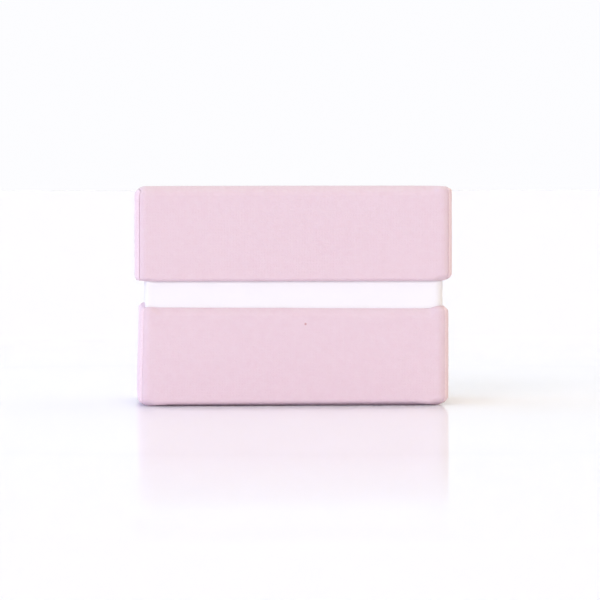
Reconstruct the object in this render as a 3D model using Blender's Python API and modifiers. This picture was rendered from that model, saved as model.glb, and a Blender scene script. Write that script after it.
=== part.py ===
"""Nail buffer block: two foam pads banded with abrasive cloth, bonded to a white centre core.

Metres, +Z up. The origin is on the resting plane under the middle of the block. X runs along the
block's length, and the front face looks to -Y.
"""

from collections import namedtuple

import bmesh
import bpy
from mathutils import Vector

# Driving dimensions.
UPPER_LENGTH = 0.0400
UPPER_DEPTH = 0.0250
UPPER_HEIGHT = 0.0120
LOWER_LENGTH = 0.0392
LOWER_DEPTH = 0.0248
LOWER_HEIGHT = 0.0126
PAD_EDGE_RADIUS = 0.0012
EDGE_SEGMENTS = 5

CORE_LENGTH = 0.0375
CORE_DEPTH = 0.0238
GRIP_HEIGHT = 0.0030  # the space between the pads, which the core fills
CORE_CORNER_RADIUS = 0.0010
CORE_CORNER_SEGMENTS = 8
CORE_RIM_WIDTH = 0.0022

CLOTH_THICKNESS = 0.0005
ADHESIVE_THICKNESS = 0.00015
ADHESIVE_MARGIN = 0.0010  # the film stops this far short of the cut edge of the cloth
TAPE_THICKNESS = 0.00025
LAYER_GAP = 0.00015  # between the layers that are wound round the foam
FACE_GAP = 0.0003  # between faces that rest on each other

UPPER_END_STRIP = 0.00055  # bare foam outside each cut edge of the cloth
LOWER_END_STRIP = 0.00065
BUTT_SLIT = 0.0003  # between the two ends of the cloth, where they meet against the core
OVERCUT = 0.0004  # how far a cutter reaches past the surface that it cuts
NEAR = 0.00001  # two places this near each other are the same
ROUND_PROFILE = 0.5  # a bevel's profile for an arc of a circle
SHARP_ANGLE = 0.6  # edges that turn more than this, in radians, are shaded sharp

# A pad's hidden side is the one against the core: 1 is its top and -1 its underside.
Pad = namedtuple("Pad", "name length depth height bottom hidden_side end_strip")
LOWER = Pad(
    name="lower",
    length=LOWER_LENGTH,
    depth=LOWER_DEPTH,
    height=LOWER_HEIGHT,
    bottom=0.0,
    hidden_side=1,
    end_strip=LOWER_END_STRIP,
)
UPPER = Pad(
    name="upper",
    length=UPPER_LENGTH,
    depth=UPPER_DEPTH,
    height=UPPER_HEIGHT,
    bottom=LOWER_HEIGHT + GRIP_HEIGHT,
    hidden_side=-1,
    end_strip=UPPER_END_STRIP,
)

PINK_CLOTH = ("abrasive_cloth", (0.84, 0.65, 0.73), 0.85)
PINK_FOAM = ("pink_foam", (0.86, 0.66, 0.70), 0.95)
WHITE_CORE = ("white_core", (0.93, 0.92, 0.94), 0.30)
CLEAR_ADHESIVE = ("adhesive_film", (0.88, 0.84, 0.74), 0.50)
BOND_TAPE = ("bond_tape", (0.90, 0.89, 0.86), 0.70)


def empty_scene():
    for obj in list(bpy.data.objects):
        bpy.data.objects.remove(obj, do_unlink=True)


def new_collection(name):
    collection = bpy.data.collections.new(name)
    bpy.context.scene.collection.children.link(collection)
    return collection


def new_material(name, colour, roughness):
    material = bpy.data.materials.new(name)
    material.use_nodes = True
    shader = material.node_tree.nodes["Principled BSDF"]
    shader.inputs["Base Color"].default_value = (*colour, 1.0)
    shader.inputs["Roughness"].default_value = roughness
    shader.inputs["Metallic"].default_value = 0.0
    return material


def box_mesh(size):
    """A box of the given size about its own centre."""
    mesh = bmesh.new()
    bmesh.ops.create_cube(mesh, size=1.0)
    bmesh.ops.scale(mesh, vec=size, verts=mesh.verts)
    return mesh


def round_edges(mesh, edges, radius, segments):
    bmesh.ops.bevel(
        mesh,
        geom=edges,
        offset=radius,
        segments=segments,
        profile=ROUND_PROFILE,
        affect="EDGES",
    )


def plate_mesh(size, corner_radius, segments):
    """A flat plate about its own centre, rounded at its four upright edges."""
    mesh = box_mesh(size)
    upright = [e for e in mesh.edges if runs_upright(e)]
    round_edges(mesh, upright, corner_radius, segments)
    return mesh


def runs_upright(edge):
    run = edge.verts[1].co - edge.verts[0].co
    return abs(run.x) < NEAR and abs(run.y) < NEAR


def add_object(name, mesh, location, collection, material=None):
    """A mesh object from a bmesh, which is used up."""
    bmesh.ops.recalc_face_normals(mesh, faces=mesh.faces)
    data = bpy.data.meshes.new(name)
    mesh.to_mesh(data)
    mesh.free()
    obj = bpy.data.objects.new(name, data)
    obj.location = location
    collection.objects.link(obj)
    if material is None:
        obj.hide_render = True
        obj.display_type = "WIRE"
    else:
        data.materials.append(material)
        data.shade_smooth()
        data.set_sharp_from_angle(angle=SHARP_ANGLE)
    return obj


def cut(obj, cutter):
    boolean = obj.modifiers.new("cut_" + cutter.name, "BOOLEAN")
    boolean.operation = "DIFFERENCE"
    boolean.object = cutter


def solidify(obj, thickness, outward=0.0):
    """Turns an open skin into a shell that reaches this far in from it, and this far out."""
    shell = obj.modifiers.new("shell", "SOLIDIFY")
    shell.thickness = thickness + outward
    shell.offset = 2.0 * outward / (thickness + outward) - 1.0
    shell.use_even_offset = True


def trim(mesh, point, outward):
    """Cuts the mesh by a plane and drops what lies outside it."""
    bmesh.ops.bisect_plane(
        mesh,
        geom=mesh.verts[:] + mesh.edges[:] + mesh.faces[:],
        plane_co=point,
        plane_no=outward,
        clear_outer=True,
    )


def pad_centre(pad):
    return Vector((0.0, 0.0, pad.bottom + pad.height / 2))


def pad_form(pad, inset=0.0):
    """The pad's outer shape, or the same shape with every face this far in."""
    size = (pad.length - 2 * inset, pad.depth - 2 * inset, pad.height - 2 * inset)
    mesh = box_mesh(size)
    round_edges(mesh, mesh.edges[:], PAD_EDGE_RADIUS - inset, EDGE_SEGMENTS)
    return mesh


def wound_skin(pad, inset, end_distance, slit):
    """The open skin of a layer that goes round the pad's long faces and stops short of its ends.

    Its two ends meet in a slit along the middle of the face against the core.
    """
    mesh = pad_form(pad, inset)
    for side in (-1, 1):
        trim(mesh, (side * end_distance, 0.0, 0.0), (side, 0.0, 0.0))
    if slit:
        face_height = pad.hidden_side * (pad.height / 2 - inset)
        for side in (-1, 1):
            hidden = [f for f in mesh.faces if on_level(f, face_height)]
            edges = {e for f in hidden for e in f.edges}
            verts = {v for f in hidden for v in f.verts}
            bmesh.ops.bisect_plane(
                mesh,
                geom=list(verts) + list(edges) + hidden,
                plane_co=(0.0, side * slit / 2, 0.0),
                plane_no=(0.0, 1.0, 0.0),
            )
        strip = [
            f
            for f in mesh.faces
            if on_level(f, face_height) and abs(f.calc_center_median().y) < slit / 2
        ]
        bmesh.ops.delete(mesh, geom=strip, context="FACES")
    return mesh


def on_level(face, height):
    return all(abs(v.co.z - height) < NEAR for v in face.verts)


def cloth_end(pad):
    """How far each cut edge of the cloth is from the block's middle."""
    return pad.length / 2 - pad.end_strip


def make_cloth(pad, parts, material):
    skin = wound_skin(pad, 0.0, cloth_end(pad), BUTT_SLIT)
    cloth = add_object(pad.name + "_abrasive_wrap", skin, pad_centre(pad), parts, material)
    solidify(cloth, CLOTH_THICKNESS)
    return cloth


def make_adhesive(pad, parts, material):
    inset = CLOTH_THICKNESS + LAYER_GAP
    skin = wound_skin(pad, inset, cloth_end(pad) - ADHESIVE_MARGIN, BUTT_SLIT)
    film = add_object(pad.name + "_wrap_adhesive", skin, pad_centre(pad), parts, material)
    solidify(film, ADHESIVE_THICKNESS)
    return film


def make_foam(pad, parts, cutters, material):
    """The foam: full size at its bare ends, and thinner where the cloth goes round it."""
    foam = add_object(pad.name + "_foam_block", pad_form(pad), pad_centre(pad), parts, material)
    recess = CLOTH_THICKNESS + LAYER_GAP + ADHESIVE_THICKNESS + LAYER_GAP
    skin = wound_skin(pad, 0.0, cloth_end(pad) + LAYER_GAP, 0.0)
    cutter = add_object(pad.name + "_cloth_recess", skin, pad_centre(pad), cutters)
    solidify(cutter, recess, outward=OVERCUT)
    cut(foam, cutter)
    return foam


def pocket_size():
    return CORE_LENGTH - 2 * CORE_RIM_WIDTH, CORE_DEPTH - 2 * CORE_RIM_WIDTH


def core_faces():
    """The heights of the core's two rims."""
    return LOWER_HEIGHT + FACE_GAP, UPPER.bottom - FACE_GAP


def make_core(parts, cutters, material):
    """The core: a plate with rounded corners, and a shallow pocket on each side for its tape."""
    low, high = core_faces()
    size = (CORE_LENGTH, CORE_DEPTH, high - low)
    plate = plate_mesh(size, CORE_CORNER_RADIUS, CORE_CORNER_SEGMENTS)
    middle = Vector((0.0, 0.0, (low + high) / 2))
    core = add_object("centre_core", plate, middle, parts, material)
    depth = TAPE_THICKNESS + FACE_GAP
    for name, rim, way in (("upper", high, 1), ("lower", low, -1)):
        size = (*pocket_size(), depth + OVERCUT)
        pocket = plate_mesh(size, CORE_CORNER_RADIUS, EDGE_SEGMENTS)
        place = Vector((0.0, 0.0, rim + way * (OVERCUT - depth) / 2))
        cut(core, add_object(name + "_tape_pocket", pocket, place, cutters))
    return core


def make_tape(name, rim, way, parts, material):
    """A bond tape, level with the core's rim, with a gap round it in its pocket."""
    length, width = pocket_size()
    size = (length - 2 * FACE_GAP, width - 2 * FACE_GAP, TAPE_THICKNESS)
    tape = plate_mesh(size, CORE_CORNER_RADIUS - FACE_GAP, EDGE_SEGMENTS)
    place = Vector((0.0, 0.0, rim - way * TAPE_THICKNESS / 2))
    return add_object(name + "_bond_tape", tape, place, parts, material)


def make_block():
    empty_scene()
    parts = new_collection("nail_buffer_block")
    cutters = new_collection("cutters")
    cloth = new_material(*PINK_CLOTH)
    foam = new_material(*PINK_FOAM)
    adhesive = new_material(*CLEAR_ADHESIVE)
    tape = new_material(*BOND_TAPE)
    for pad in (UPPER, LOWER):
        make_cloth(pad, parts, cloth)
        make_adhesive(pad, parts, adhesive)
        make_foam(pad, parts, cutters, foam)
    make_core(parts, cutters, new_material(*WHITE_CORE))
    low, high = core_faces()
    make_tape("upper", high, 1, parts, tape)
    make_tape("lower", low, -1, parts, tape)


make_block()
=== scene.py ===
"""Looks of the nail buffer block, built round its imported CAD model.

Metres, +Z up. X runs along the block's length and the front face looks to -Y. Each pad starts as the
skin of a rounded box on a lattice. The cloth, its adhesive and the foam are then cut from that skin.
"""

import math
from collections import namedtuple

import bmesh
import bpy
import numpy as np
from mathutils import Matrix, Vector, noise
from mathutils.bvhtree import BVHTree


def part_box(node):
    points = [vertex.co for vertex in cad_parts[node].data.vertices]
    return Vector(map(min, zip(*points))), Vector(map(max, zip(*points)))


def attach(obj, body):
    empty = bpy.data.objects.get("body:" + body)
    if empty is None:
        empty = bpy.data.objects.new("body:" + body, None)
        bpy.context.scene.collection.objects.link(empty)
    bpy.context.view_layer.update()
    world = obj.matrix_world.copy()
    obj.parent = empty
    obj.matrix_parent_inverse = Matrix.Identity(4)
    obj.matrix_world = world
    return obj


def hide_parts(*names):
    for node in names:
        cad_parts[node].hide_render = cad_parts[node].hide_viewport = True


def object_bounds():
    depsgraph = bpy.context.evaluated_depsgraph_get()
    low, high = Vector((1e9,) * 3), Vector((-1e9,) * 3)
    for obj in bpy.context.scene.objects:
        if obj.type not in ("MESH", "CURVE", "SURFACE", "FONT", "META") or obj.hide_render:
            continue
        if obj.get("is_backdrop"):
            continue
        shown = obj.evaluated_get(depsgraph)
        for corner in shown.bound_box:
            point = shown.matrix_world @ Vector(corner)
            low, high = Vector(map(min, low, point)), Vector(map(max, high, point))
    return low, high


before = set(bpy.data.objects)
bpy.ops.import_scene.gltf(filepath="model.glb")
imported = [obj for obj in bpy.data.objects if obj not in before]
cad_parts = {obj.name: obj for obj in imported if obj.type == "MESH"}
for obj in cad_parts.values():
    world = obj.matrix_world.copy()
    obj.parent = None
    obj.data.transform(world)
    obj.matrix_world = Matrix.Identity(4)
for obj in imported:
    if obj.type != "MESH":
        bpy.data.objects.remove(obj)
CAD_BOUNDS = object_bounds()

MM = 0.001
BODY = "root"

# How much smaller each pad is than its CAD box at three of its sides. A minus makes it larger.
Trim = namedtuple("Trim", "left right foot")
TRIM = {
    "upper": Trim(0.06 * MM, 0.06 * MM, 0.12 * MM),
    "lower": Trim(-0.08 * MM, 0.09 * MM, 0.0),
}

# Roundness of the pads. Seen from the front, each corner of a pad has a radius of its own. The top
# long edges' radius is larger by top_gain at the right end, and smaller by it at the left.
UPRIGHT_RADIUS = 1.5 * MM  # of the upright edges, seen from above
LONG_RADIUS_AT_ENDS = 1.3 * MM  # the long edges' radius grows or shrinks to this near the ends
Rounding = namedtuple("Rounding", "top top_gain foot left_top right_top left_foot right_foot")
ROUNDING = {
    "upper": Rounding(
        top=1.30 * MM,
        top_gain=0.0,
        foot=0.44 * MM,
        left_top=1.35 * MM,
        right_top=0.56 * MM,
        left_foot=0.46 * MM,
        right_foot=0.90 * MM,
    ),
    "lower": Rounding(
        top=1.55 * MM,
        top_gain=0.20 * MM,
        foot=0.50 * MM,
        left_top=0.80 * MM,
        right_top=0.80 * MM,
        left_foot=1.00 * MM,
        right_foot=1.05 * MM,
    ),
}
CORNERS_FROM = 0.60  # a corner's radius grows to the upright one between these shares of the depth
CORNERS_TO = 0.92
ENDS_FROM = 0.95  # the share of the length at which the long edges start to change

# How the lower pad settles. It bears on its middle, and its rim stands clear of the table.
LEFT_LEAN = 0.26 * MM  # its left end leans in by this much at its top
FOOT_LIFT = 0.31 * MM  # how far the rim is clear
FOOT_TILT = 0.06 * MM  # the rim's lift is this much more at the right and less at the left
RIM_WIDTH = 1.6 * MM  # the lift starts this far in from the pad's sides
RIM_FULL_X = 0.8 * MM  # and is whole this far in from the ends
RIM_FULL_Y = 0.5 * MM  # and this far in from the front and the back
CORNER_REST = 0.6  # the share of the lift which is lost at both ends
REST_FROM = 5.0 * MM  # the loss starts this far in from the ends
REST_FULL = 1.0 * MM  # and is whole this far in

# The layers round the foam.
CLOTH_THICKNESS = 0.25 * MM
FILM_THICKNESS = 0.05 * MM
LAYER_GAP = 0.015 * MM
SLIT_WIDTH = 0.06 * MM  # between the cloth's two ends, on the face against the core

# Unevenness of the glued cloth: waves to the millimetre, how far the noise is shifted, and height.
Ripple = namedtuple("Ripple", "pace shift height")
RIPPLES = (Ripple(0.22, 1.0, 0.010), Ripple(1.1, -1.0, 0.005), Ripple(2.3, 2.0, 0.004))

# The lattice of a pad's skin. A tangent of 1 is half way round a quarter turn.
TURN_TANGENTS = (0.27, 0.58, 1.0)
SEAM_TANGENT = 0.83  # where the cloth is cut, on the turn towards the end
BEFORE_SEAM = 0.38
COARSE_PITCH = 1.35 * MM
FINE_PARTS = 4
HIDDEN_PARTS = 2

# The cloth simulation runs on a copy that is this much larger.
SIM_SCALE = 25.0
SIM_FRAMES = 20
SIM_PRESSURE = 4.0
CROWN = 0.06 * MM  # the most that the skin may swell
HELD_WHOLLY = 0.26 * MM  # a skin this near the core or the table is held flat by it
HELD_NO_MORE = 3.25 * MM  # and one this far away is free

# The core and the tapes.
CORNER_STEPS = 10
SIDE_STEPS = (44, 68)  # along an end, and along a long side
CORE_LEFT_RADIUS = 0.5 * MM
CORE_RIGHT_RADIUS = 1.10 * MM
CORE_LEAST_RADIUS = 0.3 * MM
CORE_RIM_WIDTH = 2.2 * MM
CORE_RIM_SHARES = (1.0, 0.75, 0.5, 0.25, 0.08)
CORE_CLEARANCE = 0.004 * MM  # between the core and the pads
CORE_EDGE = 0.02 * MM
CORE_OFFSET = Vector((0.05 * MM, 0.15 * MM))  # the core is glued in this far to the right and back
WALL_STEPS = 8
POCKET_GAP = 0.3 * MM  # in the CAD model, between a tape and the floor of its pocket
TAPE_EDGE = 0.12 * MM
TAPE_CORNER_RADIUS = 1.2 * MM
TAPE_FACE_INSET = 1.0 * MM  # a ring of vertices this far in on a tape's flat faces
EDGE_BREAK = 0.3  # where the middle of a soft edge is, as a share of its width

SHARP_ANGLE = 0.9  # edges that turn more than this, in radians, are shaded sharp

CLOTH_PINK = (0.725, 0.553, 0.630)
FOAM_PINK = (0.845, 0.66, 0.725)
CORE_WHITE = (0.855, 0.830, 0.870)
SPECK_RED = (0.555, 0.30, 0.325)  # one stray grain on the lower pad's front face
SPECK_RIGHT = 1.42 * MM  # from the block's middle
SPECK_DROP = 2.28 * MM  # from the lower pad's top
SPECK_CORE = 0.08 * MM
SPECK_REACH = 0.20 * MM

# The studio.
TABLE_WHITE = (0.895, 0.875, 0.955)
TABLE_SCATTER = 8.0 * MM  # how far light spreads inside the table's white acrylic
POLISH = 0.5
POLISH_WHOLE = 0.115  # the polish fades between these distances from the block, in metres
POLISH_GONE = 0.235
FLOOR_HALF = 6.0
FLOOR_DROP = 0.00001
BACKDROP_WHITE = (0.98, 0.98, 1.0)

# Radiance of the surroundings for each colour: the mean, and what +X, +Y and +Z add to it.
SKY = (
    (0.51, -0.07, 0.46, 0.14),
    (0.525, -0.08, 0.46, 0.20),
    (0.545, -0.13, 0.46, 0.00),
)

# Broad, far lights: the azimuth is 0 at the front and 90 degrees at the right, and the level is
# what the light adds to a white surface that faces it.
Light = namedtuple("Light", "name azimuth elevation spread level colour")
LIGHTS = (
    Light("key", -21.0, 23.0, 26.0, 0.46, (1.0, 0.99, 1.0)),
    Light("cool_fill", -85.0, 25.0, 130.0, 0.53, (0.48, 0.56, 1.0)),
    Light("warm_fill", 80.0, 20.0, 130.0, 0.42, (1.0, 0.69, 0.44)),
)

CAMERA_DISTANCE = 0.600  # from the front face
CAMERA_HEIGHT = 0.0298
CAMERA_AZIMUTH = math.radians(-2.25)
CAMERA_PITCH = math.radians(1.571)
CAMERA_ROLL = math.radians(0.08)
SIGHT_OFFSET = 0.00075  # the view's middle is this far right of the block's
LENS = 286.6

CLOTH, GAP, END, SLIT = range(4)  # the zones of a pad's skin

Pad = namedtuple("Pad", "name low high hidden seam_gap")
Station = namedtuple("Station", "share tangent place")
Skin = namedtuple("Skin", "mesh zone turn sites")


def pad_of(name, hidden, seam_gap):
    """A pad's box. Its hidden side, 1 for the top or -1 for the underside, is against the core."""
    foam_low, foam_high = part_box(name + "_foam_block")
    cloth_low, cloth_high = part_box(name + "_abrasive_wrap")
    low = Vector(map(min, foam_low, cloth_low))
    high = Vector(map(max, foam_high, cloth_high))
    trim = TRIM[name]
    low += Vector((trim.left, 0.0, trim.foot))
    high.x -= trim.right
    return Pad(name, low, high, hidden, seam_gap)


UPPER = pad_of("upper", -1, 0.09 * MM)
LOWER = pad_of("lower", 1, 0.03 * MM)


def mix(a, b, share):
    return a + (b - a) * share


def smooth_step(value, start, end):
    share = min(1.0, max(0.0, (value - start) / (end - start)))
    return share * share * (3.0 - 2.0 * share)


# ---------------------------------------------------------------------------------------------
# The lattice and the skin


def line_stations(shares, tangents):
    """Stations along one axis: the flat stretch as shares of its half, and the turns as tangents."""
    turn = [(1.0, t) for t in tangents]
    flat = [(share, 0.0) for share in shares]
    ends = [(-share, -t) for share, t in reversed(turn)]
    return [Station(s, t, i) for i, (s, t) in enumerate(ends + flat + turn)]


def even_shares(half, extra=()):
    """Evenly spread shares of the flat half length, with the extra ones put in."""
    parts = max(2, round(2 * half / COARSE_PITCH))
    shares = [2.0 * i / parts - 1.0 for i in range(parts + 1)]
    crowded = [s for s in shares if any(abs(s - e) * half < COARSE_PITCH / 3 for e in extra)]
    return sorted(set(shares) - set(crowded) | set(extra))


def slit_share(pad):
    """Where the edges of the slit are, as a share of the flat half depth of the hidden face."""
    rounding = ROUNDING[pad.name]
    radius = rounding.top if pad.hidden > 0 else rounding.foot
    return SLIT_WIDTH / 2 / ((pad.high.y - pad.low.y) / 2 - radius)


def pad_stations(pad):
    """The stations of the pad's lattice along x, y and z."""
    half = (pad.high - pad.low) / 2
    gap = pad.seam_gap / UPRIGHT_RADIUS * (1.0 + SEAM_TANGENT**2)
    seam_turn = (BEFORE_SEAM, SEAM_TANGENT, SEAM_TANGENT + gap, 1.0)
    slit = slit_share(pad)
    return (
        line_stations(even_shares(half.x - UPRIGHT_RADIUS), seam_turn),
        line_stations(even_shares(half.y - UPRIGHT_RADIUS, (-slit, slit)), TURN_TANGENTS),
        line_stations(even_shares(half.z - UPRIGHT_RADIUS), TURN_TANGENTS),
    )


def refined(stations, parts):
    fine = []
    for a, b in zip(stations, stations[1:]):
        for k in range(parts):
            fine.append(Station(*(mix(p, q, k / parts) for p, q in zip(a, b))))
    return fine + [stations[-1]]


def radii_at(pad, x, y, z):
    """The radii along x, y and z of the rounded box, from the shares of its flat half sides."""
    rounding = ROUNDING[pad.name]
    if x < 0:
        corner_top, corner_foot = rounding.left_top, rounding.left_foot
    else:
        corner_top, corner_foot = rounding.right_top, rounding.right_foot
    rise = smooth_step(z, -1.0, 1.0)
    corner = mix(corner_foot, corner_top, rise)
    along = smooth_step(abs(x), ENDS_FROM, 1.0)
    top = rounding.top + rounding.top_gain * x
    return Vector((
        mix(corner, UPRIGHT_RADIUS, smooth_step(abs(y), CORNERS_FROM, CORNERS_TO)),
        mix(mix(rounding.foot, top, rise), LONG_RADIUS_AT_ENDS, along),
        mix(rounding.foot, corner_foot, along) if z < 0 else mix(top, corner_top, along),
    ))


def skin_point(pad, stations):
    """The point of the rounded box at three stations, and how far round a turn it is, from 0 to 1."""
    half = (pad.high - pad.low) / 2
    shares = [s.share for s in stations]
    tangents = Vector([s.tangent for s in stations])
    length = tangents.length
    radii = radii_at(pad, *shares)
    flat = Vector([s * (h - r) for s, h, r in zip(shares, half, radii)])
    turned = Vector([t / length * r for t, r in zip(tangents, radii)])
    point = flat + turned
    if pad.hidden > 0:
        point += settled(point, half, shares[2])
    second = sorted(abs(t) for t in tangents)[1]
    return (pad.low + pad.high) / 2 + point, second


def settled(point, half, z_share):
    """How the lower pad's rim stands clear of the table, and how its left end leans in."""
    rim_x = smooth_step(abs(point.x), half.x - RIM_WIDTH, half.x - RIM_FULL_X)
    rim_y = smooth_step(abs(point.y), half.y - RIM_WIDTH, half.y - RIM_FULL_Y)
    rim = 1.0 - (1.0 - rim_x) * (1.0 - rim_y)
    clear = FOOT_LIFT + FOOT_TILT * point.x / half.x
    loss = smooth_step(abs(point.x), half.x - REST_FROM, half.x - REST_FULL)
    clear *= 1.0 - CORNER_REST * loss
    lift = clear * rim * (1.0 - smooth_step(z_share, -1.0, 0.0))
    lean = LEFT_LEAN * smooth_step(-point.x, 0.0, half.x) * smooth_step(point.z, -half.z, half.z)
    return Vector((lean, 0.0, lift))


def zone_of(pad, axis, side, centre, stations):
    """The zone of a face of the skin, from its axis, its side and the places of its centre."""
    last = stations[0][-1].place
    from_end = min(centre[0], last - centre[0])
    if axis == 0 or from_end < 1:
        return END
    if from_end < 2:
        return GAP
    half_slit = 1.01 * slit_share(pad)  # a little more, to take in both of its edges
    slit_places = [s.place for s in stations[1] if s.tangent == 0 and abs(s.share) < half_slit]
    in_slit = min(slit_places) < centre[1] < max(slit_places)
    return SLIT if axis == 2 and side == pad.hidden and in_slit else CLOTH


def lattice_faces(axes):
    """Each face on the outside of the lattice: its axis, its side, its four sites and its centre."""
    for axis in range(3):
        first, second = (axis + 1) % 3, (axis + 2) % 3
        for side, end in ((-1, 0), (1, len(axes[axis]) - 1)):
            for a in range(len(axes[first]) - 1):
                for b in range(len(axes[second]) - 1):
                    sites = []
                    for p, q in ((a, b), (a + 1, b), (a + 1, b + 1), (a, b + 1)):
                        site = [0, 0, 0]
                        site[axis], site[first], site[second] = end, p, q
                        sites.append(tuple(site))
                    centre = [0.0, 0.0, 0.0]
                    centre[axis] = axes[axis][end].place
                    centre[first] = (axes[first][a].place + axes[first][a + 1].place) / 2
                    centre[second] = (axes[second][b].place + axes[second][b + 1].place) / 2
                    yield axis, side, sites, centre


def build_skin(pad, parts, crown=None):
    """The pad's closed skin, with each face's zone and each vertex's turn."""
    coarse = pad_stations(pad)
    axes = [refined(line, parts) for line in coarse]
    mesh = bmesh.new()
    zone = mesh.faces.layers.int.new("zone")
    turn = mesh.verts.layers.float.new("turn")
    verts = {}
    for axis, side, sites, centre in lattice_faces(axes):
        for site in sites:
            if site not in verts:
                point, turned = skin_point(pad, [axes[n][site[n]] for n in range(3)])
                verts[site] = mesh.verts.new(point)
                verts[site][turn] = turned
        quad = [verts[site] for site in sites]
        if side < 0:
            quad.reverse()
        face = mesh.faces.new(quad)
        face[zone] = zone_of(pad, axis, side, centre, coarse)
    if crown is not None:
        for site, vert in verts.items():
            place = [axes[n][site[n]].place for n in range(3)]
            vert.co += Vector(between(crown, place))
    mesh.normal_update()
    return Skin(mesh, zone, turn, verts)


def between(field, place):
    """The field's value between its lattice sites."""
    low = [min(int(p), n - 2) for p, n in zip(place, field.shape)]
    value = np.zeros(3)
    for corner in np.ndindex(2, 2, 2):
        weight = 1.0
        for n in range(3):
            share = place[n] - low[n]
            weight *= share if corner[n] else 1.0 - share
        if weight > 0.0:
            value += weight * field[tuple(l + c for l, c in zip(low, corner))]
    return value


# ---------------------------------------------------------------------------------------------
# The cloth simulation


def swollen(obj):
    """The vertices of a skin after the foam inside has pressed it out."""
    cloth = obj.modifiers.new("swell", "CLOTH")
    settings = cloth.settings
    settings.quality = 5
    settings.mass = 0.3
    settings.tension_stiffness = 15.0
    settings.compression_stiffness = 15.0
    settings.shear_stiffness = 5.0
    settings.bending_stiffness = 0.5
    settings.use_pressure = True
    settings.uniform_pressure_force = SIM_PRESSURE
    settings.effector_weights.gravity = 0.0
    cloth.collision_settings.use_collision = False
    cloth.point_cache.frame_start = 1
    cloth.point_cache.frame_end = SIM_FRAMES
    for step in range(1, SIM_FRAMES + 1):
        bpy.context.scene.frame_set(step)
    evaluated = obj.evaluated_get(bpy.context.evaluated_depsgraph_get())
    return [v.co.copy() for v in evaluated.data.vertices]


def crown_of(pad):
    """How the pad's skin swells at each site of its coarse lattice."""
    skin = build_skin(pad, 1)
    sites = list(skin.sites)
    for n, site in enumerate(sites):
        skin.sites[site].index = n
    skin.mesh.verts.sort()
    rest = [v.co.copy() for v in skin.mesh.verts]
    middle = (pad.low + pad.high) / 2
    for vert in skin.mesh.verts:
        vert.co = (vert.co - middle) * SIM_SCALE
    data = bpy.data.meshes.new("swell")
    skin.mesh.to_mesh(data)
    skin.mesh.free()
    obj = bpy.data.objects.new("swell", data)
    bpy.context.scene.collection.objects.link(obj)
    moves = [p / SIM_SCALE + middle - q for p, q in zip(swollen(obj), rest)]
    bpy.data.objects.remove(obj, do_unlink=True)
    bpy.context.scene.frame_set(1)
    most = max(m.length for m in moves)
    crown = np.zeros([len(line) for line in pad_stations(pad)] + [3])
    for site, place, move in zip(sites, rest, moves):
        held = held_flat(pad, place)
        crown[site] = move * (CROWN / most * (1.0 - held))
    return crown


def held_flat(pad, point):
    """1 on the faces that something holds flat: the core's side, and the side on the table."""
    near_core = pad.high.z - point.z if pad.hidden > 0 else point.z - pad.low.z
    near_table = point.z if pad.hidden > 0 else math.inf
    return 1.0 - smooth_step(min(near_core, near_table), HELD_WHOLLY, HELD_NO_MORE)


# ---------------------------------------------------------------------------------------------
# Pieces


def add_piece(name, mesh, materials, slot, *nodes):
    """A finished piece from a bmesh, which is used up."""
    data = bpy.data.meshes.new(name)
    mesh.to_mesh(data)
    mesh.free()
    obj = bpy.data.objects.new(name, data)
    bpy.context.scene.collection.objects.link(obj)
    for material in materials:
        data.materials.append(material)
    data.shade_smooth()
    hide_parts(*nodes)
    return obj


def apply_modifiers(obj):
    """Swaps the object's mesh for the one that its modifiers make."""
    graph = bpy.context.evaluated_depsgraph_get()
    made = bpy.data.meshes.new_from_object(obj.evaluated_get(graph), depsgraph=graph)
    obj.modifiers.clear()
    obj.data = made
    made.shade_smooth()
    made.set_sharp_from_angle(angle=SHARP_ANGLE)


def push_in(skin, depth, zones):
    """Moves the vertices that only touch these zones in from the skin."""
    skin.mesh.normal_update()
    moves = {}
    for vert in skin.mesh.verts:
        if all(face[skin.zone] in zones for face in vert.link_faces):
            moves[vert] = vert.normal * -depth
    for vert, move in moves.items():
        vert.co += move


def keep_zones(skin, zones):
    gone = [f for f in skin.mesh.faces if f[skin.zone] not in zones]
    bmesh.ops.delete(skin.mesh, geom=gone, context="FACES")


def solidify(obj, thickness, even=True):
    """Gives a skin thickness inwards. An even one keeps the full thickness round tight turns."""
    shell = obj.modifiers.new("shell", "SOLIDIFY")
    shell.thickness = thickness
    shell.offset = -1.0
    shell.use_even_offset = even


def roughen(skin, seed):
    """Fine unevenness of the glued cloth: a slow ripple, and short ones like pressed grain."""
    offset = Vector((seed, 2.0 * seed, 3.0 * seed))
    skin.mesh.normal_update()
    moves = []
    for vert in skin.mesh.verts:
        place = vert.co / MM
        rise = sum(r.height * noise.noise(place * r.pace + offset * r.shift) for r in RIPPLES)
        moves.append(vert.normal * rise * MM)
    for vert, move in zip(skin.mesh.verts, moves):
        vert.co += move


def level(skin, pad):
    """Keeps the faces against the core and the table inside their planes."""
    for vert in skin.mesh.verts:
        if pad.hidden > 0:
            vert.co.z = min(max(vert.co.z, pad.low.z), pad.high.z)
        else:
            vert.co.z = max(vert.co.z, pad.low.z)


def copy_of(skin):
    mesh = skin.mesh.copy()
    zone = mesh.faces.layers.int["zone"]
    turn = mesh.verts.layers.float["turn"]
    return Skin(mesh, zone, turn, None)


def pad_skin(pad, parts, crown):
    skin = build_skin(pad, parts, crown)
    roughen(skin, 7.3 if pad.hidden > 0 else 3.1)
    level(skin, pad)
    return skin


def make_cloth(pad, whole_skin, materials):
    skin = copy_of(whole_skin)
    keep_zones(skin, (CLOTH,))
    node = pad.name + "_abrasive_wrap"
    cloth = add_piece(pad.name + "_abrasive_cloth", skin.mesh, materials, "abrasive_cloth", node)
    solidify(cloth, CLOTH_THICKNESS)
    apply_modifiers(cloth)
    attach(cloth, BODY)
    return cloth


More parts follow.
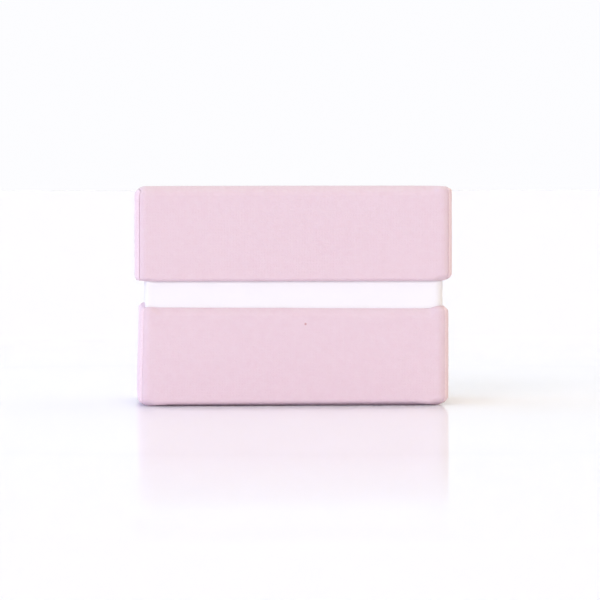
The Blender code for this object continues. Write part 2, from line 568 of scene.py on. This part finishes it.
def make_film(pad, crown, material):
    """The adhesive: a thin film just inside the cloth."""
    skin = pad_skin(pad, HIDDEN_PARTS, crown)
    push_in(skin, CLOTH_THICKNESS + LAYER_GAP, (CLOTH, GAP, END, SLIT))
    keep_zones(skin, (CLOTH,))
    node = pad.name + "_wrap_adhesive"
    film = add_piece(pad.name + "_adhesive_film", skin.mesh, [material], "adhesive_film", node)
    solidify(film, FILM_THICKNESS, even=False)
    apply_modifiers(film)
    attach(film, BODY)


def make_foam(pad, whole_skin, material):
    """The foam: full size at its bare ends, and stepped in where the layers go round it."""
    skin = copy_of(whole_skin)
    recess = CLOTH_THICKNESS + FILM_THICKNESS + 2 * LAYER_GAP
    push_in(skin, recess, (CLOTH, GAP, SLIT))
    node = pad.name + "_foam_block"
    foam = add_piece(pad.name + "_foam", skin.mesh, [material], "pink_foam", node)
    foam.data.set_sharp_from_angle(angle=SHARP_ANGLE)
    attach(foam, BODY)
    return foam


def outline(half_length, half_depth, left_radius, right_radius):
    """Points of a rounded rectangle, the same number for every size."""
    points = []
    corners = ((1, -1, -90.0), (1, 1, 0.0), (-1, 1, 90.0), (-1, -1, 180.0))
    for x_way, y_way, start in corners:
        radius = right_radius if x_way > 0 else left_radius
        centre = Vector((x_way * (half_length - radius), y_way * (half_depth - radius)))
        arc = []
        for step in range(CORNER_STEPS + 1):
            angle = math.radians(start + 90.0 * step / CORNER_STEPS)
            arc.append(centre + radius * Vector((math.cos(angle), math.sin(angle))))
        points.append(arc)
    path = []
    for n, arc in enumerate(points):
        path += arc
        run_end = points[(n + 1) % 4][0]
        steps = SIDE_STEPS[n % 2]
        path += [arc[-1].lerp(run_end, k / steps) for k in range(1, steps)]
    return path


def close_rings(mesh, rings):
    """Joins a stack of rings into a closed solid, with a flat cap at each end."""
    for below, above in zip(rings, rings[1:]):
        for n in range(len(below)):
            m = (n + 1) % len(below)
            mesh.faces.new((below[n], below[m], above[m], above[n]))
    mesh.faces.new(reversed(rings[0]))
    mesh.faces.new(rings[-1])
    bmesh.ops.recalc_face_normals(mesh, faces=mesh.faces)


def make_core(lower_skin, upper_skin, material):
    """The core, its wall scribed to the rounded faces of both pads, with a pocket for each tape."""
    low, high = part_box("centre_core")
    half = (high - low) / 2
    middle = (low.z + high.z) / 2
    ground = BVHTree.FromBMesh(lower_skin.mesh)
    ceiling = BVHTree.FromBMesh(upper_skin.mesh)

    def touch(point, tree, way):
        start = Vector((point.x, point.y, middle))
        hit = tree.ray_cast(start, Vector((0.0, 0.0, way)))[0]
        return hit.z - way * CORE_CLEARANCE

    mesh = bmesh.new()
    rings = []

    def ring(inset, height):
        whole_radii = (CORE_LEFT_RADIUS, CORE_RIGHT_RADIUS)
        radii = [max(r - inset, CORE_LEAST_RADIUS) for r in whole_radii]
        path = [p + CORE_OFFSET for p in outline(half.x - inset, half.y - inset, *radii)]
        rings.append([mesh.verts.new((p.x, p.y, height(p))) for p in path])

    def ground_height(point):
        return touch(point, ground, -1)

    def ceiling_height(point):
        return touch(point, ceiling, 1)

    def wall_height(share):
        def height(point):
            bottom = ground_height(point) + CORE_EDGE
            top = ceiling_height(point) - CORE_EDGE
            return mix(bottom, top, share)

        return height

    lower_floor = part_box("lower_bond_tape")[1].z + POCKET_GAP
    upper_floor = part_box("upper_bond_tape")[0].z - POCKET_GAP
    broken = CORE_EDGE * EDGE_BREAK
    ring(CORE_RIM_WIDTH, lambda p: lower_floor)
    for share in CORE_RIM_SHARES:
        ring(CORE_RIM_WIDTH * share, ground_height)
    ring(broken, lambda p: ground_height(p) + broken)
    for step in range(WALL_STEPS + 1):
        ring(0.0, wall_height(step / WALL_STEPS))
    ring(broken, lambda p: ceiling_height(p) - broken)
    for share in reversed(CORE_RIM_SHARES):
        ring(CORE_RIM_WIDTH * share, ceiling_height)
    ring(CORE_RIM_WIDTH, lambda p: upper_floor)
    close_rings(mesh, rings)
    core = add_piece("centre_core_body", mesh, [material], "white_core", "centre_core")
    core.data.set_sharp_from_angle(angle=SHARP_ANGLE)
    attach(core, BODY)


def make_tape(name, pad, material):
    """A foam tape: a plate with soft edges between the pad and the floor of the core's pocket."""
    low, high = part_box(name + "_bond_tape")
    half = (high - low) / 2
    if pad.hidden > 0:
        bottom = pad.high.z + LAYER_GAP
        top = high.z + POCKET_GAP - LAYER_GAP
    else:
        bottom = low.z - POCKET_GAP + LAYER_GAP
        top = pad.low.z - LAYER_GAP
    mesh = bmesh.new()
    rings = []
    broken = EDGE_BREAK * TAPE_EDGE
    for inset, height in (
        (TAPE_FACE_INSET, bottom),
        (TAPE_EDGE, bottom),
        (broken, bottom + broken),
        (0.0, bottom + TAPE_EDGE),
        (0.0, (bottom + top) / 2),
        (0.0, top - TAPE_EDGE),
        (broken, top - broken),
        (TAPE_EDGE, top),
        (TAPE_FACE_INSET, top),
    ):
        radius = TAPE_CORNER_RADIUS - inset
        path = outline(half.x - inset, half.y - inset, radius, radius)
        rings.append([mesh.verts.new((p.x, p.y, height)) for p in path])
    close_rings(mesh, rings)
    tape = add_piece(name + "_foam_tape", mesh, [material], "bond_tape", name + "_bond_tape")
    tape.data.set_sharp_from_angle(angle=SHARP_ANGLE)
    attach(tape, BODY)


# ---------------------------------------------------------------------------------------------
# Materials


def new_material(name):
    material = bpy.data.materials.new(name)
    material.use_nodes = True
    tree = material.node_tree
    return material, tree, tree.nodes["Principled BSDF"]


def node(tree, kind, **values):
    """A new node, with its settings and the values of its sockets by name."""
    made = tree.nodes.new(kind)
    for name, value in values.items():
        if name in made.bl_rna.properties:
            setattr(made, name, value)
        else:
            made.inputs[name].default_value = value
    return made


def fit(tree, source, low, high, start=0.0, end=1.0):
    """Maps a value from start..end to low..high, held at both ends."""
    made = node(tree, "ShaderNodeMapRange")
    tree.links.new(source, made.inputs["Value"])
    made.inputs["From Min"].default_value = start
    made.inputs["From Max"].default_value = end
    made.inputs["To Min"].default_value = low
    made.inputs["To Max"].default_value = high
    return made.outputs["Result"]


def noise_at(tree, place, size, detail=2.0, roughness=0.5):
    """Noise with features of this size in metres."""
    made = node(tree, "ShaderNodeTexNoise", Scale=1.0 / size, Detail=detail, Roughness=roughness)
    tree.links.new(place, made.inputs["Vector"])
    return made.outputs["Fac"]


def cells_at(tree, place, size, feature="F1"):
    made = node(tree, "ShaderNodeTexVoronoi", Scale=1.0 / size, feature=feature)
    tree.links.new(place, made.inputs["Vector"])
    return made.outputs["Distance"]


def blend_colours(tree, share, a, b):
    made = node(tree, "ShaderNodeMix", data_type="RGBA")
    tree.links.new(share, made.inputs["Factor"])
    for socket, value in ((made.inputs[6], a), (made.inputs[7], b)):
        if isinstance(value, tuple):
            socket.default_value = (*value, 1.0)
        else:
            tree.links.new(value, socket)
    return made.outputs[2]


def math_of(tree, operation, a, b):
    made = node(tree, "ShaderNodeMath", operation=operation)
    for socket, value in ((made.inputs[0], a), (made.inputs[1], b)):
        if isinstance(value, float):
            socket.default_value = value
        else:
            tree.links.new(value, socket)
    return made.outputs[0]


def bump(tree, shader, height, depth):
    made = node(tree, "ShaderNodeBump", Distance=depth)
    tree.links.new(height, made.inputs["Height"])
    tree.links.new(made.outputs["Normal"], shader.inputs["Normal"])


def cloth_material(name, colour, speck=None):
    """Pink abrasive cloth: mottled dye, fine grit in a faint weave, and edges made paler by wear and
    painted highlight.
    """
    material, tree, shader = new_material(name)
    place = node(tree, "ShaderNodeTexCoord").outputs["Object"]
    deep = tuple(c * k for c, k in zip(colour, (0.985, 0.955, 0.965)))
    pale = tuple(min(1.0, c * k) for c, k in zip(colour, (1.01, 1.03, 1.02)))
    cloud = noise_at(tree, place, 6.0 * MM, 3.0)
    mottle = noise_at(tree, place, 0.9 * MM, 4.0, 0.65)
    grit = cells_at(tree, place, 0.17 * MM)
    tint = blend_colours(tree, fit(tree, mottle, 0.0, 1.0, 0.3, 0.7), deep, pale)
    tint = blend_colours(tree, fit(tree, cloud, 0.0, 0.35, 0.35, 0.7), tint, pale)
    tint = blend_colours(tree, fit(tree, grit, 0.0, 0.22, 0.55, 0.9), tint, deep)
    # The rounded edges are painted paler in patches: partly wear, partly a painted highlight that
    # lightens their shade.
    turn = node(tree, "ShaderNodeAttribute", attribute_name="turn").outputs["Fac"]
    on_edges = fit(tree, turn, 0.0, 1.0, 0.45, 1.0)
    in_patches = fit(tree, mottle, 0.0, 1.0, 0.35, 0.65)
    wear_and_edge_light_mask = math_of(tree, "MULTIPLY", on_edges, in_patches)
    wear_and_edge_light = tuple(min(1.0, c * k) for c, k in zip(colour, (1.00, 1.05, 1.00)))
    tint = blend_colours(tree, fit(tree, wear_and_edge_light_mask, 0.0, 0.6), tint, wear_and_edge_light)
    if speck is not None:
        away = node(tree, "ShaderNodeVectorMath", operation="DISTANCE")
        tree.links.new(place, away.inputs[0])
        away.inputs[1].default_value = speck
        near = fit(tree, away.outputs["Value"], 1.0, 0.0, SPECK_CORE, SPECK_REACH)
        tint = blend_colours(tree, near, tint, SPECK_RED)
    tree.links.new(tint, shader.inputs["Base Color"])
    rough = fit(tree, mottle, 0.62, 0.80, 0.3, 0.7)
    tree.links.new(rough, shader.inputs["Roughness"])
    shader.inputs["IOR"].default_value = 1.45
    shader.inputs["Sheen Weight"].default_value = 0.10
    shader.inputs["Sheen Roughness"].default_value = 0.35
    weave = weave_of(tree, place, 0.36 * MM)
    grains = math_of(tree, "MULTIPLY", grit, 0.5)
    patches = math_of(tree, "MULTIPLY", mottle, 0.9)
    threads = math_of(tree, "MULTIPLY", weave, 0.18)
    height = math_of(tree, "ADD", math_of(tree, "ADD", grains, patches), threads)
    bump(tree, shader, height, 0.028 * MM)
    return material


def weave_of(tree, place, pitch):
    """Threads along each axis, which show wherever the surface cuts across them."""
    total = None
    for direction in ("X", "Y", "Z"):
        wave = node(tree, "ShaderNodeTexWave", wave_type="BANDS", bands_direction=direction)
        wave.inputs["Scale"].default_value = math.pi / 10.0 / pitch
        wave.inputs["Distortion"].default_value = 1.2
        wave.inputs["Detail"].default_value = 2.0
        wave.inputs["Detail Scale"].default_value = 1.5
        tree.links.new(place, wave.inputs["Vector"])
        threads = wave.outputs["Fac"]
        total = threads if total is None else math_of(tree, "ADD", total, threads)
    return total


def foam_material(colour):
    """Closed-cell foam: small pits with thin bright walls, and slow changes of tone."""
    material, tree, shader = new_material("pink_foam_cells")
    place = node(tree, "ShaderNodeTexCoord").outputs["Object"]
    walls = cells_at(tree, place, 0.24 * MM, "DISTANCE_TO_EDGE")
    small = cells_at(tree, place, 0.11 * MM)
    cloud = noise_at(tree, place, 3.0 * MM, 3.0)
    pit = tuple(c * k for c, k in zip(colour, (0.93, 0.86, 0.88)))
    tint = blend_colours(tree, fit(tree, walls, 0.0, 1.0, 0.02, 0.35), colour, pit)
    tint = blend_colours(tree, fit(tree, cloud, 0.0, 0.3, 0.3, 0.7), tint, colour)
    tree.links.new(tint, shader.inputs["Base Color"])
    tree.links.new(fit(tree, cloud, 0.80, 0.92, 0.3, 0.7), shader.inputs["Roughness"])
    shader.inputs["IOR"].default_value = 1.40
    shader.inputs["Sheen Weight"].default_value = 0.15
    height = math_of(tree, "SUBTRACT", math_of(tree, "MULTIPLY", small, 0.4), walls)
    bump(tree, shader, height, 0.05 * MM)
    return material


def core_material(colour):
    """White moulded plastic: a faint orange peel, and slow changes of gloss."""
    material, tree, shader = new_material("white_core_plastic")
    place = node(tree, "ShaderNodeTexCoord").outputs["Object"]
    cloud = noise_at(tree, place, 5.0 * MM, 3.0)
    peel = noise_at(tree, place, 0.5 * MM, 2.0)
    dull = tuple(c * 0.97 for c in colour)
    tree.links.new(blend_colours(tree, cloud, dull, colour), shader.inputs["Base Color"])
    tree.links.new(fit(tree, cloud, 0.34, 0.48, 0.3, 0.7), shader.inputs["Roughness"])
    shader.inputs["Specular IOR Level"].default_value = 0.25
    bump(tree, shader, peel, 0.004 * MM)
    return material


def film_material():
    material, tree, shader = new_material("clear_adhesive")
    place = node(tree, "ShaderNodeTexCoord").outputs["Object"]
    cloud = noise_at(tree, place, 2.0 * MM, 4.0)
    tint = blend_colours(tree, cloud, (0.90, 0.85, 0.72), (0.85, 0.79, 0.66))
    tree.links.new(tint, shader.inputs["Base Color"])
    tree.links.new(fit(tree, cloud, 0.30, 0.60, 0.3, 0.7), shader.inputs["Roughness"])
    bump(tree, shader, cloud, 0.02 * MM)
    return material


def tape_material():
    material, tree, shader = new_material("white_foam_tape")
    place = node(tree, "ShaderNodeTexCoord").outputs["Object"]
    walls = cells_at(tree, place, 0.16 * MM, "DISTANCE_TO_EDGE")
    inside = fit(tree, walls, 0.0, 1.0, 0.0, 0.3)
    tint = blend_colours(tree, inside, (0.92, 0.91, 0.88), (0.84, 0.83, 0.79))
    tree.links.new(tint, shader.inputs["Base Color"])
    tree.links.new(fit(tree, walls, 0.75, 0.90, 0.0, 0.3), shader.inputs["Roughness"])
    bump(tree, shader, walls, 0.04 * MM)
    return material


# ---------------------------------------------------------------------------------------------
# The studio


def floor_material():
    """A white table with a polish that fades away from the block."""
    material, tree, shader = new_material("pale_table")
    place = node(tree, "ShaderNodeTexCoord").outputs["Object"]
    shader.inputs["Base Color"].default_value = (*TABLE_WHITE, 1.0)
    shader.inputs["Roughness"].default_value = 1.0
    shader.inputs["Specular IOR Level"].default_value = 0.0
    shader.subsurface_method = "BURLEY"
    shader.inputs["Subsurface Weight"].default_value = 1.0
    shader.inputs["Subsurface Radius"].default_value = (1.0, 1.0, 1.0)
    shader.inputs["Subsurface Scale"].default_value = TABLE_SCATTER
    away = node(tree, "ShaderNodeVectorMath", operation="LENGTH")
    tree.links.new(place, away.inputs[0])
    polish = fit(tree, away.outputs["Value"], POLISH, 0.0, POLISH_WHOLE, POLISH_GONE)
    facing = node(tree, "ShaderNodeLayerWeight", Blend=0.5).outputs["Facing"]
    grazing = math_of(tree, "POWER", facing, 3.0)
    share = math_of(tree, "MULTIPLY", polish, grazing)
    gloss = node(tree, "ShaderNodeBsdfGlossy", Roughness=0.03)
    gloss.inputs["Color"].default_value = (1.0, 1.0, 1.0, 1.0)
    both = node(tree, "ShaderNodeMixShader")
    tree.links.new(share, both.inputs[0])
    tree.links.new(shader.outputs[0], both.inputs[1])
    tree.links.new(gloss.outputs[0], both.inputs[2])
    output = next(n for n in tree.nodes if n.type == "OUTPUT_MATERIAL")
    tree.links.new(both.outputs[0], output.inputs["Surface"])
    return material


def make_floor():
    mesh = bmesh.new()
    bmesh.ops.create_grid(mesh, x_segments=8, y_segments=8, size=FLOOR_HALF)
    data = bpy.data.meshes.new("table")
    mesh.to_mesh(data)
    mesh.free()
    floor = bpy.data.objects.new("table", data)
    floor.location.z = CAD_BOUNDS[0].z - FLOOR_DROP
    bpy.context.scene.collection.objects.link(floor)
    data.materials.append(floor_material())
    floor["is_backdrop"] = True


def make_world():
    """Soft light from all round, most of it from behind, and a plain pale wall past the table."""
    world = bpy.data.worlds.new("studio")
    bpy.context.scene.world = world
    world.use_nodes = True
    tree = world.node_tree
    way = node(tree, "ShaderNodeTexCoord").outputs["Generated"]
    colour = node(tree, "ShaderNodeCombineColor")
    for channel, (mean, *slope) in enumerate(SKY):
        lean = node(tree, "ShaderNodeVectorMath", operation="DOT_PRODUCT")
        tree.links.new(way, lean.inputs[0])
        lean.inputs[1].default_value = slope
        level_of = math_of(tree, "ADD", lean.outputs["Value"], mean)
        tree.links.new(level_of, colour.inputs[channel])
    light = tree.nodes["Background"]
    tree.links.new(colour.outputs[0], light.inputs["Color"])
    wall = node(tree, "ShaderNodeBackground")
    wall.inputs["Color"].default_value = (*BACKDROP_WHITE, 1.0)
    seen = node(tree, "ShaderNodeLightPath").outputs["Is Camera Ray"]
    both = node(tree, "ShaderNodeMixShader")
    tree.links.new(seen, both.inputs[0])
    tree.links.new(light.outputs[0], both.inputs[1])
    tree.links.new(wall.outputs[0], both.inputs[2])
    output = next(n for n in tree.nodes if n.type == "OUTPUT_WORLD")
    tree.links.new(both.outputs[0], output.inputs["Surface"])


def make_light(light):
    data = bpy.data.lights.new(light.name, "SUN")
    data.angle = math.radians(light.spread)
    data.energy = light.level * math.pi
    data.color = light.colour
    lamp = bpy.data.objects.new(light.name, data)
    azimuth = math.radians(light.azimuth)
    elevation = math.radians(light.elevation)
    level = math.cos(elevation)
    way = Vector((math.sin(azimuth) * level, -math.cos(azimuth) * level, math.sin(elevation)))
    lamp.rotation_euler = way.to_track_quat("Z", "Y").to_euler()
    bpy.context.scene.collection.objects.link(lamp)


def make_camera():
    data = bpy.data.cameras.new("camera")
    data.lens = LENS
    data.sensor_width = 36.0
    data.clip_start = 0.01
    data.clip_end = 50.0
    camera = bpy.data.objects.new("camera", data)
    front = Vector((SIGHT_OFFSET, CAD_BOUNDS[0].y, 0.0))
    back = Vector((math.sin(CAMERA_AZIMUTH), -math.cos(CAMERA_AZIMUTH), 0.0))
    camera.location = front + back * CAMERA_DISTANCE + Vector((0.0, 0.0, CAMERA_HEIGHT))
    camera.rotation_euler = (math.pi / 2 - CAMERA_PITCH, CAMERA_ROLL, CAMERA_AZIMUTH)
    bpy.context.scene.collection.objects.link(camera)
    bpy.context.scene.camera = camera


# ---------------------------------------------------------------------------------------------
# The whole


def flat_size(pad):
    """The cloth before it is wound round the pad: its width along the block, and its girth."""
    size = pad.high - pad.low
    width = size.x - 2 * UPRIGHT_RADIUS * (1.0 - math.atan(SEAM_TANGENT))
    rounding = ROUNDING[pad.name]
    girth = 2 * (size.y + size.z) - (4 - math.pi) * (rounding.top + rounding.foot) - SLIT_WIDTH
    return width, girth


def make_block():
    foam_look = foam_material(FOAM_PINK)
    film_look = film_material()
    tape_look = tape_material()
    speck = (SPECK_RIGHT, LOWER.low.y, LOWER.high.z - SPECK_DROP)
    looks = {
        "upper": cloth_material("upper_cloth", CLOTH_PINK),
        "lower": cloth_material("lower_cloth", CLOTH_PINK, speck),
    }
    skins = {}
    for pad in (LOWER, UPPER):
        crown = crown_of(pad)
        skin = pad_skin(pad, FINE_PARTS, crown)
        foam = make_foam(pad, skin, foam_look)
        cloth = make_cloth(pad, skin, [looks[pad.name]])
        make_film(pad, crown, film_look)
        flat_size(pad)
        skins[pad.name] = skin
    make_core(skins["lower"], skins["upper"], core_material(CORE_WHITE))
    for pad in (LOWER, UPPER):
        make_tape(pad.name, pad, tape_look)
        skins[pad.name].mesh.free()


def write_sizes():
    sizes = {"cad": CAD_BOUNDS, "visual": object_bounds()}
    lists = {name: [list(corner) for corner in box] for name, box in sizes.items()}


make_block()
make_floor()
make_world()
for light in LIGHTS:
    make_light(light)
make_camera()
bpy.context.scene.view_settings.view_transform = "Standard"
write_sizes()
